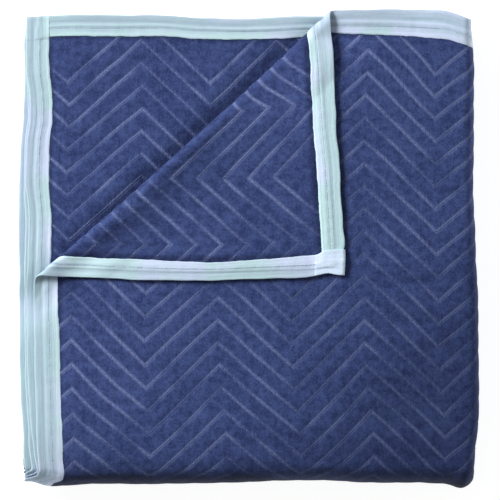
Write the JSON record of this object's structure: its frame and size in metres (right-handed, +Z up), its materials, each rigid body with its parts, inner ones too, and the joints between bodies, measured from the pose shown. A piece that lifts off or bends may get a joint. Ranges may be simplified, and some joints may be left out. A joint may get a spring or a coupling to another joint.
{
  "type": "moving blanket",
  "caption": "Quilted moving blanket with zigzag stitching and bound edges, folded into a flat square stack with the top corner turned back.",
  "frame": {"origin": "middle of the folded stack's footprint, on the surface it rests on", "axes": "+Z up through the layers; +Y towards the side with the open bound ends; +X towards the smooth folded side"},
  "size_m": [0.4662, 0.4806, 0.0712],
  "materials": {
    "navy_quilt": "matt woven face cloth, quilted in zigzag rows with pale thread",
    "grey_blue_tape": "matt non-woven tape, soft lengthwise creases"
  },
  "bodies": {
    "root": {"quilted_pad": "navy_quilt", "side_binding_1": "grey_blue_tape", "side_binding_2": "grey_blue_tape", "end_binding_1": "grey_blue_tape", "end_binding_2": "grey_blue_tape"}
  },
  "joints": []
}
